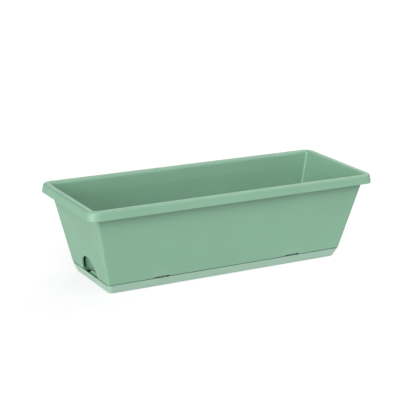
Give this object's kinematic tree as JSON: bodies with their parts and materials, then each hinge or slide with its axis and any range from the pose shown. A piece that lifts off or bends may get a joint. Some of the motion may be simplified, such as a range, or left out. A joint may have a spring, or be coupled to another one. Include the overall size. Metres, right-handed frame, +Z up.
{
  "type": "self-watering planter trough",
  "caption": "Rectangular self-watering planter trough on a clip-under water tray, with filling mouths in its ends, soil grids and wicking baskets that reach the water.",
  "frame": {"origin": "on the ground, under the middle of the water tray", "axes": "+X along the trough's length, +Y across it, +Z up"},
  "size_m": [0.5, 0.186, 0.1405],
  "materials": {
    "trough_plastic": "matte sage-green moulded polypropylene with a fine grain",
    "tray_plastic": "matte lighter, greyer sage-green moulded polypropylene",
    "grid_plastic": "matte recycled grey-green polypropylene",
    "basket_plastic": "matte recycled dark grey-green polypropylene"
  },
  "bodies": {
    "tray": {"water_tray": "tray_plastic"},
    "trough": {"planter_trough": "trough_plastic"},
    "grid_left": {"soil_grid_left": "grid_plastic"},
    "grid_right": {"soil_grid_right": "grid_plastic"},
    "basket_1": {"wicking_basket_1": "basket_plastic"},
    "basket_2": {"wicking_basket_2": "basket_plastic"},
    "basket_3": {"wicking_basket_3": "basket_plastic"},
    "basket_4": {"wicking_basket_4": "basket_plastic"}
  },
  "joints": [
    {"name": "trough_lift", "type": "slide", "parent": "tray", "child": "trough", "axis": [0, 0, 1], "range_m": [0, 0.08]},
    {"name": "grid_left_lift", "type": "slide", "parent": "trough", "child": "grid_left", "axis": [0, 0, 1], "range_m": [0, 0.15]},
    {"name": "grid_right_lift", "type": "slide", "parent": "trough", "child": "grid_right", "axis": [0, 0, 1], "range_m": [0, 0.15]},
    {"name": "basket_1_lift", "type": "slide", "parent": "grid_left", "child": "basket_1", "axis": [0, 0, 1], "range_m": [0, 0.14]},
    {"name": "basket_2_lift", "type": "slide", "parent": "grid_left", "child": "basket_2", "axis": [0, 0, 1], "range_m": [0, 0.14]},
    {"name": "basket_3_lift", "type": "slide", "parent": "grid_right", "child": "basket_3", "axis": [0, 0, 1], "range_m": [0, 0.14]},
    {"name": "basket_4_lift", "type": "slide", "parent": "grid_right", "child": "basket_4", "axis": [0, 0, 1], "range_m": [0, 0.14]}
  ]
}
